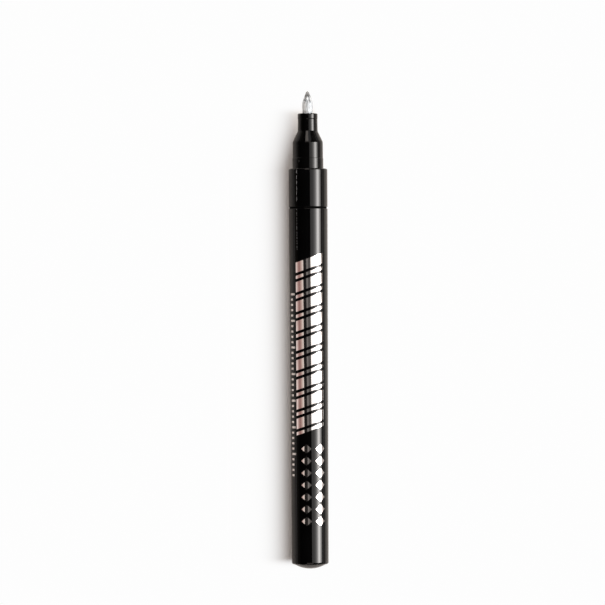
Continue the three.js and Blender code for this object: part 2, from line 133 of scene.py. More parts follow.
def turn(name, outline, rounds=()):
    """Makes a turned piece: a ring is extruded and scaled from one (radius, y) to the next, and the corners
    named in rounds, each with its size, are bevelled."""
    outline = with_holding_rings(outline, rounds)
    radius, station = outline[0]
    bpy.ops.object.select_all(action="DESELECT")
    bpy.ops.mesh.primitive_circle_add(
        vertices=SIDES, radius=radius, location=(0, station, axis_z), rotation=(math.pi / 2, 0, 0)
    )
    piece = bpy.context.object
    piece.name = piece.data.name = name
    bpy.ops.object.transform_apply(location=True, rotation=True, scale=True)
    bpy.ops.object.mode_set(mode="EDIT")
    bpy.ops.mesh.select_mode(type="VERT")
    bpy.ops.mesh.select_all(action="SELECT")
    for next_radius, next_station in outline[1:]:
        bpy.ops.mesh.extrude_region_move(TRANSFORM_OT_translate={"value": (0, next_station - station, 0)})
        if next_radius == 0:
            bpy.ops.mesh.merge(type="CENTER")
        else:
            ratio = next_radius / radius
            bpy.ops.transform.resize(value=(ratio, 1, ratio), center_override=(0, next_station, axis_z))
        radius, station = next_radius, next_station
    bpy.ops.mesh.select_all(action="SELECT")
    bpy.ops.mesh.remove_doubles(threshold=WELD)
    shape = bmesh.from_edit_mesh(piece.data)
    if any(edge.is_boundary for edge in shape.edges):
        select_ring(piece, *outline[0])
        bpy.ops.mesh.edge_face_add()
    for corner, size in rounds:
        select_ring(piece, *corner)
        bpy.ops.mesh.bevel(offset=size, segments=ROUND_STEPS, affect="EDGES")
    bpy.ops.mesh.select_all(action="SELECT")
    bpy.ops.mesh.normals_make_consistent(inside=False)
    bpy.ops.object.mode_set(mode="OBJECT")
    bpy.ops.object.shade_smooth_by_angle(angle=SMOOTH_ANGLE)
    return piece


barrel_low, barrel_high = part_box("barrel_tube")
barrel_radius = barrel_high.x
tail_y = barrel_low.y
mouth_y = barrel_high.y
barrel = turn(
    "barrel",
    [
        (PLUG_SEAT_RADIUS, tail_y),
        (TAIL_RADIUS, tail_y),
        (barrel_radius, mouth_y),
        (SOCKET_RADIUS, mouth_y),
        (SOCKET_RADIUS, mouth_y - SOCKET_DEPTH),
        (BORE_RADIUS, mouth_y - SOCKET_DEPTH),
        (BORE_RADIUS, tail_y + PLUG_SEAT_DEPTH),
        (PLUG_SEAT_RADIUS, tail_y + PLUG_SEAT_DEPTH),
        (PLUG_SEAT_RADIUS, tail_y),
    ],
    rounds=[((TAIL_RADIUS, tail_y), TAIL_ROUND), ((barrel_radius, mouth_y), MOUTH_ROUND)],
)

NOISE_SPREAD = (0.3, 0.7)
SKIN_STRETCH = (1, 0.06, 1)
SKIN_STREAK_SCALE = 2400
SKIN_MOTTLE_SCALE = 160
SKIN_MOTTLE_SHADES = (0.75, 1.25)
DUST_SCALE = 620
DUST_SPECK_EDGE = (0.05, 0.075)
DUST_CELLS_KEPT = (0.9, 0.92)
PLASTIC_INDEX = 1.46


def add_node(tree, kind, values=(), **settings):
    """Adds a node, gives its sockets their values or links, and returns it."""
    node = tree.nodes.new(kind)
    for setting, value in settings.items():
        setattr(node, setting, value)
    for socket, value in dict(values).items():
        if isinstance(value, bpy.types.NodeSocket):
            tree.links.new(value, node.inputs[socket])
        else:
            node.inputs[socket].default_value = value
    return node


def calculate(tree, operation, *values):
    """Adds a Math node that works on the values or links, and returns its result."""
    return add_node(tree, "ShaderNodeMath", dict(enumerate(values)), operation=operation).outputs[0]


def remap(tree, value, old, new):
    """Carries a value from one range over to another, held at its ends."""
    values = {"Value": value, "From Min": old[0], "From Max": old[1], "To Min": new[0], "To Max": new[1]}
    return add_node(tree, "ShaderNodeMapRange", values).outputs[0]


def scaled(tree, colour, share):
    """Makes a colour darker or brighter by a share."""
    values = {0: colour, "Scale": share}
    return add_node(tree, "ShaderNodeVectorMath", values, operation="SCALE").outputs["Vector"]


def mixed(tree, share, first, second):
    """Blends two colours, from the first at 0 to the second at 1."""
    return add_node(tree, "ShaderNodeMix", {0: share, 6: first, 7: second}, data_type="RGBA").outputs[2]


def new_group(name, inputs, outputs):
    """Starts a node group with named sockets, each given as (name, kind, default)."""
    tree = bpy.data.node_groups.new(name, "ShaderNodeTree")
    for socket, kind, default in inputs:
        made = tree.interface.new_socket(socket, in_out="INPUT", socket_type=kind)
        made.default_value = default
    for socket, kind in outputs:
        tree.interface.new_socket(socket, in_out="OUTPUT", socket_type=kind)
    return tree, tree.nodes.new("NodeGroupInput").outputs, tree.nodes.new("NodeGroupOutput").inputs


def moulded_skin_group():
    """Moulded plastic: slow mottling, fine handling streaks along the piece, specks of dust and a ripple."""
    tree, given, out = new_group(
        "moulded_skin",
        [
            ("Colour", "NodeSocketColor", (0.01, 0.01, 0.01, 1)),
            ("Dust Colour", "NodeSocketColor", (0.1, 0.1, 0.1, 1)),
            ("Dust", "NodeSocketFloat", 0.3),
            ("Roughness", "NodeSocketFloat", 0.2),
            ("Streaks", "NodeSocketFloat", 0.05),
            ("Ripple Size", "NodeSocketFloat", 900.0),
        ],
        [("Colour", "NodeSocketColor"), ("Roughness", "NodeSocketFloat"), ("Height", "NodeSocketFloat")],
    )
    place = add_node(tree, "ShaderNodeTexCoord").outputs["Object"]
    drawn_out = add_node(tree, "ShaderNodeMapping", {"Vector": place, "Scale": SKIN_STRETCH}).outputs[0]
    streaks = add_node(
        tree, "ShaderNodeTexNoise", {"Vector": drawn_out, "Scale": SKIN_STREAK_SCALE, "Detail": 4}
    ).outputs["Fac"]
    mottle = add_node(
        tree, "ShaderNodeTexNoise", {"Vector": place, "Scale": SKIN_MOTTLE_SCALE, "Detail": 3}
    ).outputs["Fac"]
    ripple = add_node(
        tree, "ShaderNodeTexNoise", {"Vector": place, "Scale": given["Ripple Size"], "Detail": 1}
    ).outputs["Fac"]
    cells = add_node(tree, "ShaderNodeTexVoronoi", {"Vector": place, "Scale": DUST_SCALE}).outputs
    speck = remap(tree, cells["Distance"], DUST_SPECK_EDGE, (1, 0))
    draw = add_node(tree, "ShaderNodeSeparateColor", {"Color": cells["Color"]}).outputs["Red"]
    kept = remap(tree, draw, DUST_CELLS_KEPT, (0, 1))
    dust = calculate(tree, "MULTIPLY", calculate(tree, "MULTIPLY", speck, kept), given["Dust"])
    toned = scaled(tree, given["Colour"], remap(tree, mottle, NOISE_SPREAD, SKIN_MOTTLE_SHADES))
    tree.links.new(mixed(tree, dust, toned, given["Dust Colour"]), out["Colour"])
    swing = remap(tree, streaks, NOISE_SPREAD, (-1, 1))
    rough = calculate(tree, "MULTIPLY_ADD", swing, given["Streaks"], given["Roughness"])
    tree.links.new(calculate(tree, "ADD", rough, dust), out["Roughness"])
    tree.links.new(ripple, out["Height"])
    return tree


moulded_skin = moulded_skin_group()


def moulded_material(
    name, colour, roughness, streaks, ripple_size, ripple_height, dust, index=PLASTIC_INDEX
):
    """Plastic straight from the mould: the skin above, a bump of a real height and the refractive index."""
    material = bpy.data.materials.new(name)
    material.use_nodes = True
    tree = material.node_tree
    shader = tree.nodes["Principled BSDF"]
    skin = tree.nodes.new("ShaderNodeGroup")
    skin.node_tree = moulded_skin
    skin.inputs["Colour"].default_value = (*colour, 1)
    skin.inputs["Dust"].default_value = dust
    skin.inputs["Roughness"].default_value = roughness
    skin.inputs["Streaks"].default_value = streaks
    skin.inputs["Ripple Size"].default_value = ripple_size
    bump = add_node(tree, "ShaderNodeBump", {"Height": skin.outputs["Height"], "Distance": ripple_height})
    tree.links.new(skin.outputs["Colour"], shader.inputs["Base Color"])
    tree.links.new(skin.outputs["Roughness"], shader.inputs["Roughness"])
    tree.links.new(bump.outputs[0], shader.inputs["Normal"])
    shader.inputs["IOR"].default_value = index
    return material


gloss_black = moulded_material(
    "gloss_black", (0.0015, 0.0015, 0.0016), roughness=0.07, streaks=0.02, ripple_size=700,
    ripple_height=6e-7, dust=0.12, index=1.42,
)
barrel.data.materials.append(gloss_black)
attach(barrel, "housing")
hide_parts("barrel_tube")

# The foil marks are hot-stamped silver foil, far thinner than paper: a band of slanted bars on top of the
# barrel, two rows of lozenges behind it, and a tick scale down the left flank. Each is set back from the
# barrel's mouth.
FOIL_THICKNESS = 0.000015
FOIL_STRIP = 0.00025
BAND_SETBACK = 0.01255
BAND_HALF_WIDTH = 0.00375
BAND_ANGLE = math.radians(2.4)
BAR_SLANT = 0.0027
THICK_BAR = 0.0029
THIN_BAR = 0.0009
BAR_GAP = 0.00085
BAR_PAIRS = 9
LOZENGE_SETBACK = 0.06635
LOZENGE_PITCH = 0.0034
LOZENGE_COUNT = 7
LOZENGE_LENGTH = 0.0026
LOZENGE_WIDTH = 0.003
LOZENGE_ROWS = (math.radians(34.5), math.radians(-10))
TICK_SETBACK = 0.02415
TICK_PITCH = 0.0015
TICK_COUNT = 35
TICK_WIDTH = 0.00058
SHORT_TICK = 0.0012
LONG_TICK = 0.002
TICKS_PER_LONG = 5
TICK_ANGLE = math.radians(-57)
LAY_HEIGHT = 0.004
FOIL_STRETCH = (1, 0.1, 1)
FOIL_LINE_SCALE = 5200
FOIL_LINE_HEIGHT = 4e-7
FOIL_MOTTLE_SCALE = 420
FOIL_SHADES = [(0.3, (0.86, 0.8, 0.78)), (0.7, (0.97, 0.93, 0.91))]
FOIL_ROUGHNESS = (0.03, 0.08)
FOIL_METAL_SHARE = 0.985

lay_z = axis_z + barrel_radius + LAY_HEIGHT


def start_marks(name):
    """Opens an empty mesh above the barrel, in edit mode, for flat marks to be added to."""
    bpy.ops.object.select_all(action="DESELECT")
    bpy.ops.mesh.primitive_plane_add(size=FOIL_STRIP, location=(0, 0, 0))
    marks = bpy.context.object
    marks.name = marks.data.name = name
    bpy.ops.object.mode_set(mode="EDIT")
    bpy.ops.mesh.delete(type="VERT")
    return marks


def add_bar(x, y, width, length):
    """Adds a flat rectangle to the marks being edited."""
    bpy.ops.mesh.primitive_plane_add(size=1, location=(x, y, lay_z))
    bpy.ops.transform.resize(value=(width, length, 1), center_override=(x, y, lay_z))


def press_marks(marks, angle):
    """Cuts the marks into strips, wraps them on the barrel's top, thickens them and turns them round it."""
    shape = bmesh.from_edit_mesh(marks.data)
    reach = max(abs(vertex.co.x) for vertex in shape.verts)
    cut = -reach + FOIL_STRIP
    while cut < reach:
        bpy.ops.mesh.select_all(action="SELECT")
        bpy.ops.mesh.bisect(plane_co=(cut, 0, 0), plane_no=(1, 0, 0))
        cut += FOIL_STRIP
    bpy.ops.object.mode_set(mode="OBJECT")
    wrap = marks.modifiers.new("wrap", "SHRINKWRAP")
    wrap.target = barrel
    wrap.wrap_method = "PROJECT"
    wrap.use_project_z = True
    wrap.use_negative_direction = True
    wrap.use_positive_direction = False
    bpy.ops.object.modifier_apply(modifier="wrap")
    film = marks.modifiers.new("film", "SOLIDIFY")
    film.thickness = FOIL_THICKNESS
    film.offset = 1
    bpy.ops.object.modifier_apply(modifier="film")
    bpy.ops.object.mode_set(mode="EDIT")
    bpy.ops.mesh.select_all(action="SELECT")
    bpy.ops.mesh.normals_make_consistent(inside=False)
    bpy.ops.transform.rotate(value=-angle, orient_axis="Y", center_override=(0, 0, axis_z))
    bpy.ops.object.mode_set(mode="OBJECT")
    bpy.ops.object.shade_smooth_by_angle(angle=SMOOTH_ANGLE)
    return marks


def colour_ramp(tree, value, stops):
    """Turns a value into a colour that runs through the stops, each given as (position, colour)."""
    ramp = add_node(tree, "ShaderNodeValToRGB", {"Fac": value})
    elements = ramp.color_ramp.elements
    while len(elements) < len(stops):
        elements.new(0.5)
    for element, (position, colour) in zip(elements, stops):
        element.position = position
        element.color = (*colour, 1)
    return ramp.outputs["Color"]


def foil_material():
    """Silver foil: a bright mirror with fine rolling lines along the barrel and a soft mottle."""
    material = bpy.data.materials.new("silver_foil")
    material.use_nodes = True
    tree = material.node_tree
    shader = tree.nodes["Principled BSDF"]
    place = add_node(tree, "ShaderNodeTexCoord").outputs["Object"]
    drawn_out = add_node(tree, "ShaderNodeMapping", {"Vector": place, "Scale": FOIL_STRETCH}).outputs[0]
    lines = add_node(
        tree, "ShaderNodeTexNoise", {"Vector": drawn_out, "Scale": FOIL_LINE_SCALE, "Detail": 3}
    ).outputs["Fac"]
    mottle = add_node(
        tree, "ShaderNodeTexNoise", {"Vector": place, "Scale": FOIL_MOTTLE_SCALE, "Detail": 2}
    ).outputs["Fac"]
    bump = add_node(tree, "ShaderNodeBump", {"Height": lines, "Distance": FOIL_LINE_HEIGHT})
    tree.links.new(colour_ramp(tree, mottle, FOIL_SHADES), shader.inputs["Base Color"])
    tree.links.new(remap(tree, lines, NOISE_SPREAD, FOIL_ROUGHNESS), shader.inputs["Roughness"])
    tree.links.new(bump.outputs[0], shader.inputs["Normal"])
    shader.inputs["Metallic"].default_value = FOIL_METAL_SHARE
    return material


silver_foil = foil_material()
foil_marks = []


def finish_marks(marks):
    """Gives the marks their foil and keeps them in the list of foil marks."""
    marks.data.materials.append(silver_foil)
    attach(marks, "housing")
    foil_marks.append(marks)


band = start_marks("foil_band")
front_y = mouth_y - BAND_SETBACK - BAR_SLANT / 2
for pair in range(BAR_PAIRS):
    for bar_length in (THICK_BAR, THIN_BAR):
        add_bar(0, front_y - bar_length / 2, 2 * BAND_HALF_WIDTH, bar_length)
        front_y -= bar_length + BAR_GAP
# The right ends of the bars move forwards, which slants them.
bars = bmesh.from_edit_mesh(band.data)
for vertex in bars.verts:
    vertex.select_set(vertex.co.x > 0)
bars.select_flush(True)
bmesh.update_edit_mesh(band.data)
bpy.ops.transform.translate(value=(0, BAR_SLANT, 0))
bpy.ops.mesh.select_all(action="SELECT")
bpy.ops.transform.translate(value=(0, -BAR_SLANT / 2, 0))
finish_marks(press_marks(band, BAND_ANGLE))

for number, angle in enumerate(LOZENGE_ROWS, start=1):
    row = start_marks(f"foil_lozenges_{number}")
    front_y = mouth_y - LOZENGE_SETBACK
    for index in range(LOZENGE_COUNT):
        middle = (0, front_y - LOZENGE_LENGTH / 2 - index * LOZENGE_PITCH, lay_z)
        bpy.ops.mesh.primitive_circle_add(vertices=4, radius=0.5, fill_type="NGON", location=middle)
        bpy.ops.transform.resize(value=(LOZENGE_WIDTH, LOZENGE_LENGTH, 1), center_override=middle)
    finish_marks(press_marks(row, angle))

ticks = start_marks("foil_ticks")
for index in range(TICK_COUNT):
    length = SHORT_TICK if index % TICKS_PER_LONG else LONG_TICK
    add_bar((length - LONG_TICK) / 2, mouth_y - TICK_SETBACK - index * TICK_PITCH, length, TICK_WIDTH)
finish_marks(press_marks(ticks, TICK_ANGLE))

# The tail plug is a black moulding pressed into the tail, with a domed outer face. Its hollow spigot has two
# ribs that seal it in the bore.
PLUG_FLANGE_RADIUS = 0.00455
PLUG_SPIGOT_RADIUS = 0.004
PLUG_RIB_RADIUS = 0.00415
PLUG_RIB_STATIONS = (0.0025, 0.0041)
PLUG_RIB_HALF_WIDTH = 0.00025
PLUG_CUP_RADIUS = 0.003
PLUG_FLOOR = 0.0012
PLUG_LEAD_IN = 0.0003
DOME_STEPS = 16

plug_low, plug_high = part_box("tail_plug")
dome_rise = tail_y - plug_low.y
dome_radius = (PLUG_FLANGE_RADIUS**2 + dome_rise**2) / (2 * dome_rise)
dome_half_angle = math.asin(PLUG_FLANGE_RADIUS / dome_radius)
spigot_end = plug_high.y
plug_outline = [
    (PLUG_CUP_RADIUS, tail_y + PLUG_FLOOR),
    (PLUG_CUP_RADIUS, spigot_end),
    (PLUG_SPIGOT_RADIUS - PLUG_LEAD_IN, spigot_end),
    (PLUG_SPIGOT_RADIUS, spigot_end - PLUG_LEAD_IN),
]
for station in reversed(PLUG_RIB_STATIONS):
    plug_outline += [
        (PLUG_SPIGOT_RADIUS, tail_y + station + PLUG_RIB_HALF_WIDTH),
        (PLUG_RIB_RADIUS, tail_y + station),
        (PLUG_SPIGOT_RADIUS, tail_y + station - PLUG_RIB_HALF_WIDTH),
    ]
plug_outline += [
    (PLUG_SPIGOT_RADIUS, tail_y + PLUG_SEAT_DEPTH),
    (PLUG_FLANGE_RADIUS, tail_y + PLUG_SEAT_DEPTH),
]
for step in range(DOME_STEPS + 1):
    angle = dome_half_angle * (1 - step / DOME_STEPS)
    dome_y = plug_low.y + dome_radius * (1 - math.cos(angle))
    plug_outline.append((dome_radius * math.sin(angle), dome_y))
plug = turn("tail_plug_dome", plug_outline)
plug_black = moulded_material(
    "plug_black", (0.003, 0.003, 0.003), roughness=0.2, streaks=0.04, ripple_size=1100,
    ripple_height=1e-6, dust=0.15, index=1.34,
)
plug.data.materials.append(plug_black)
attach(plug, "housing")
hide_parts("tail_plug")

# The grip collar is a glossy black ring between the seam and the square shoulder that the cap's rim meets.
# It is a moulding of its own, pressed over the nose shell's flange.
COLLAR_CORNER = 0.0004
COLLAR_NOSE_HOLE = 0.00442
COLLAR_FLANGE_HOLE = 0.00487
COLLAR_STEP = 0.004

collar_low, collar_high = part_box("grip_collar")
collar = turn(
    "collar_ring",
    [
        (COLLAR_FLANGE_HOLE, collar_low.y),
        (barrel_radius, collar_low.y),
        (barrel_radius, collar_high.y),
        (COLLAR_NOSE_HOLE, collar_high.y),
        (COLLAR_NOSE_HOLE, collar_low.y + COLLAR_STEP),
        (COLLAR_FLANGE_HOLE, collar_low.y + COLLAR_STEP),
        (COLLAR_FLANGE_HOLE, collar_low.y),
    ],
    rounds=[((barrel_radius, collar_low.y), MOUTH_ROUND), ((barrel_radius, collar_high.y), COLLAR_CORNER)],
)
collar_black = moulded_material(
    "collar_black", (0.0015, 0.0015, 0.0016), roughness=0.08, streaks=0.03, ripple_size=800,
    ripple_height=7e-7, dust=0.15, index=1.39,
)
collar.data.materials.append(collar_black)
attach(collar, "housing")
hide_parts("grip_collar")

# A hair-thin line of flash stands where the two halves of the mould met. It is worn into beads and scuffed
# grey, and the pale grey is also painted glint for the light the line catches. It runs along the collar and
# on down the front of the barrel, and a finer one crosses the snap band.
FLASH_ANGLE = math.radians(-36.1)
COLLAR_FLASH_RADIUS = 0.00012
BARREL_FLASH_RADIUS = 0.00009
FLASH_BEAD_SHARE = (0.4, 1.0)
COLLAR_FLASH_PITCH = 0.0015
BARREL_FLASH_PITCH = 0.0008
FLASH_SIDES = 12
FLASH_RINGS = 8
BARREL_FLASH_LENGTH = 0.01245


def add_flash(name, front, rear, radius_at, thickness, pitch, finish, seed):
    """Lays beads of flash from a front station to a rear one, half sunk in a surface of the given radius."""
    chance = random.Random(seed)
    flash = start_marks(name)
    station = front
    while station - pitch > rear:
        length = pitch * chance.uniform(*FLASH_BEAD_SHARE)
        middle = (0, station - length / 2, axis_z + radius_at(station - length / 2))
        bpy.ops.mesh.primitive_uv_sphere_add(
            segments=FLASH_SIDES, ring_count=FLASH_RINGS, radius=thickness, location=middle
        )
        bpy.ops.transform.resize(value=(1, length / (2 * thickness), 1), center_override=middle)
        station -= pitch
    bpy.ops.mesh.select_all(action="SELECT")
    bpy.ops.transform.rotate(value=-FLASH_ANGLE, orient_axis="Y", center_override=(0, 0, axis_z))
    bpy.ops.object.mode_set(mode="OBJECT")
    bpy.ops.object.shade_smooth()
    flash.data.materials.append(finish)
    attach(flash, "housing")


def barrel_radius_at(station):
    """The barrel's outer radius at a place along its taper."""
    return barrel_radius - (barrel_radius - TAIL_RADIUS) * (mouth_y - station) / (mouth_y - tail_y)


# The flash's pale grey is partly scuffing and partly painted glint, standing for the light the line catches.
flash_scuff_and_painted_glint = moulded_material(
    "flash_scuff_and_painted_glint", (0.1, 0.1, 0.104), roughness=0.5, streaks=0.05, ripple_size=1300,
    ripple_height=2e-6, dust=0.2,
)
add_flash(
    "collar_flash", front=collar_high.y - COLLAR_CORNER, rear=collar_low.y,
    radius_at=lambda station: barrel_radius, thickness=COLLAR_FLASH_RADIUS, pitch=COLLAR_FLASH_PITCH,
    finish=flash_scuff_and_painted_glint, seed=5,
)
add_flash(
    "barrel_flash", front=mouth_y - MOUTH_ROUND, rear=mouth_y - BARREL_FLASH_LENGTH,
    radius_at=barrel_radius_at, thickness=BARREL_FLASH_RADIUS, pitch=BARREL_FLASH_PITCH,
    finish=flash_scuff_and_painted_glint, seed=8,
)

# The nose shell is a black moulding: a skirt inside the barrel, a rim that shows as the dark seam, a flange
# under the collar, the snap band that the cap clicks over, the body, the cone and the neck. The O-ring sits
# in the groove round its skirt.
SKIRT_RADIUS = 0.0045
SKIRT_ROUND = 0.0003
GROOVE_RADIUS = 0.004
GROOVE_SETBACK = 0.002
GROOVE_WIDTH = 0.0008
SEAM_RIM_RADIUS = 0.00525
NOSE_FLANGE_RADIUS = 0.00482
NOSE_FLANGE_LENGTH = 0.0045
NOSE_RADIUS = 0.00437
SNAP_BAND_LENGTH = 0.0029
SNAP_STEP = 0.00007
SNAP_RAMP = 0.0001
NOSE_FRONT_RADIUS = 0.00428
NOSE_LENGTH = 0.0076
CONE_LENGTH = 0.003
CONE_ROUND = 0.0003
NECK_REAR_RADIUS = 0.00282
NECK_RADIUS = 0.00277
NECK_BORE = 0.00205
NECK_CORNER_ROUND = 0.0001
NECK_FRONT_ROUND = 0.00012
CAVITY_RADIUS = 0.0026
CAVITY_FRONT_SETBACK = 0.0025
VALVE_BORE = 0.00285
VALVE_BORE_LENGTH = 0.0181
NOSE_FLASH_SETBACK = 0.0004
NOSE_FLASH_RADIUS = 0.00007

nose_low, nose_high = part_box("nose_shell")
shoulder_y = collar_high.y
snap_y = shoulder_y + SNAP_BAND_LENGTH
nose_end_y = shoulder_y + NOSE_LENGTH
cone_end_y = nose_end_y + CONE_LENGTH
cavity_front_y = cone_end_y - CAVITY_FRONT_SETBACK
valve_bore_end = nose_low.y + VALVE_BORE_LENGTH
nose = turn(
    "nose_moulding",
    [
        (VALVE_BORE, nose_low.y),
        (SKIRT_RADIUS, nose_low.y),
        (SKIRT_RADIUS, mouth_y - GROOVE_SETBACK - GROOVE_WIDTH),
        (GROOVE_RADIUS, mouth_y - GROOVE_SETBACK - GROOVE_WIDTH),
        (GROOVE_RADIUS, mouth_y - GROOVE_SETBACK),
        (SKIRT_RADIUS, mouth_y - GROOVE_SETBACK),
        (SKIRT_RADIUS, mouth_y),
        (SEAM_RIM_RADIUS, mouth_y),
        (SEAM_RIM_RADIUS, collar_low.y),
        (NOSE_FLANGE_RADIUS, collar_low.y),
        (NOSE_FLANGE_RADIUS, mouth_y + NOSE_FLANGE_LENGTH),
        (NOSE_RADIUS, mouth_y + NOSE_FLANGE_LENGTH),
        (NOSE_RADIUS, snap_y),
        (NOSE_RADIUS - SNAP_STEP, snap_y + SNAP_RAMP),
        (NOSE_FRONT_RADIUS, nose_end_y),
        (NECK_REAR_RADIUS, cone_end_y),
        (NECK_RADIUS, nose_high.y),
        (NECK_BORE, nose_high.y),
        (NECK_BORE, cavity_front_y),
        (CAVITY_RADIUS, cavity_front_y),
        (CAVITY_RADIUS, valve_bore_end),
        (VALVE_BORE, valve_bore_end),
        (VALVE_BORE, nose_low.y),
    ],
    rounds=[
        ((NOSE_FRONT_RADIUS, nose_end_y), CONE_ROUND),
        ((NECK_REAR_RADIUS, cone_end_y), NECK_CORNER_ROUND),
        ((NECK_RADIUS, nose_high.y), NECK_FRONT_ROUND),
        ((SKIRT_RADIUS, nose_low.y), SKIRT_ROUND),
    ],
)
satin_black = moulded_material(
    "satin_black", (0.0018, 0.0018, 0.0018), roughness=0.1, streaks=0.03, ripple_size=1300,
    ripple_height=1e-6, dust=0.15, index=1.365,
)
# Painted shade: the seam's rim is made a black that hardly mirrors, for the shade deep in the seam.
seam_painted_shade = moulded_material(
    "seam_painted_shade", (0.001, 0.001, 0.001), roughness=0.7, streaks=0.05, ripple_size=1300,
    ripple_height=1e-6, dust=0.05, index=1.1,
)
nose.data.materials.append(satin_black)
nose.data.materials.append(seam_painted_shade)
# The rim lies deep in the seam, so it gets a black finish that hardly mirrors: painted shade for the dark of
# the seam.
for face in nose.data.polygons:
    out = math.hypot(face.center.x, face.center.z - axis_z)
    if mouth_y < face.center.y < collar_low.y and out > NOSE_FLANGE_RADIUS:
        face.material_index = 1
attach(nose, "housing")
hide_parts("nose_shell")
add_flash(
    "nose_flash", front=snap_y - NOSE_FLASH_SETBACK, rear=shoulder_y, radius_at=lambda station: NOSE_RADIUS,
    thickness=NOSE_FLASH_RADIUS, pitch=COLLAR_FLASH_PITCH, finish=satin_black, seed=4,
)

# The guide bush is the flanged black ring pressed into the neck. It closes the neck and guides the nib.
# The rear edge of its flange shows as a thin line on the neck.
BUSH_BORE = 0.00158
BUSH_SPIGOT_RADIUS = 0.002
BUSH_FRONT_ROUND = 0.00022
BUSH_REAR_ROUND = 0.0001

bush_low, bush_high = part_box("nib_guide_bush")
bush_radius = bush_high.x
bush = turn(
    "guide_bush",
    [
        (BUSH_BORE, bush_low.y),
        (BUSH_SPIGOT_RADIUS, bush_low.y),
        (BUSH_SPIGOT_RADIUS, nose_high.y),
        (bush_radius, nose_high.y),
        (bush_radius, bush_high.y),
        (BUSH_BORE, bush_high.y),
        (BUSH_BORE, bush_low.y),
    ],
    rounds=[
        ((bush_radius, nose_high.y), BUSH_REAR_ROUND),
        ((bush_radius, bush_high.y), BUSH_FRONT_ROUND),
        ((BUSH_BORE, bush_high.y), BUSH_REAR_ROUND),
    ],
)
bush.data.materials.append(satin_black)
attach(bush, "housing")
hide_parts("nib_guide_bush")

# The nib is a bullet-pointed rod of pressed fibre, soaked and coated with the liquid-metal paint. The fibres
# leave fine lines along it. Painted light makes it paler on the left, and dark streaks grow towards the
# point.
NIB_TIP_RADIUS = 0.00045
NIB_POINT_ANGLE = math.radians(21)
NIB_SHOULDER_BLEND = 0.0025
NIB_REAR_BREAK = 0.0002
BLEND_STEPS = 12
TIP_STEPS = 8
NIB_SCATTER = 0.012
NIB_PAINTED_LIGHT_SHARES = (1.4, 0.85)
NIB_STRETCH = (1, 0.12, 1)
NIB_FIBRE_SCALE = 4200
NIB_FIBRE_HEIGHT = 1e-5
NIB_FIBRE_SHADES = [(0.36, (0.3, 0.335, 0.365)), (0.64, (0.66, 0.725, 0.785))]
NIB_ROUGHNESS = (0.4, 0.55)
NIB_STREAK_SCALE = 1500
NIB_DARKENED_LENGTH = 0.0036
NIB_DARKENING_AT_TIP = 0.4
NIB_DARK_STREAK_EDGE = (0.56, 0.74)
NIB_DARK_STREAK_COVER = 0.9
NIB_DARK_STREAK_COLOUR = (0.005, 0.006, 0.008, 1)
NIB_METAL_SHARE = 0.25
NIB_GLOSS = 0.15

nib_low, nib_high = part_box("nib")
nib_radius = nib_high.x
tip_centre_y = nib_high.y - NIB_TIP_RADIUS
taper_front_radius = NIB_TIP_RADIUS * math.cos(NIB_POINT_ANGLE)
taper_front_y = tip_centre_y + NIB_TIP_RADIUS * math.sin(NIB_POINT_ANGLE)
blend_inset = NIB_SHOULDER_BLEND * (1 - math.cos(NIB_POINT_ANGLE))
taper_length = (nib_radius - blend_inset - taper_front_radius) / math.tan(NIB_POINT_ANGLE)
blend_y = taper_front_y - taper_length - NIB_SHOULDER_BLEND * math.sin(NIB_POINT_ANGLE)
nib_outline = [(nib_radius - NIB_REAR_BREAK, nib_low.y), (nib_radius, nib_low.y + NIB_REAR_BREAK)]
for step in range(BLEND_STEPS + 1):
    angle = NIB_POINT_ANGLE * step / BLEND_STEPS
    reach = nib_radius - NIB_SHOULDER_BLEND * (1 - math.cos(angle))
    nib_outline.append((reach, blend_y + NIB_SHOULDER_BLEND * math.sin(angle)))
for step in range(TIP_STEPS):
    angle = NIB_POINT_ANGLE + (math.pi / 2 - NIB_POINT_ANGLE) * step / TIP_STEPS
    nib_outline.append((NIB_TIP_RADIUS * math.cos(angle), tip_centre_y + NIB_TIP_RADIUS * math.sin(angle)))
nib_outline.append((0, nib_high.y))
nib = turn("fibre_nib", nib_outline)


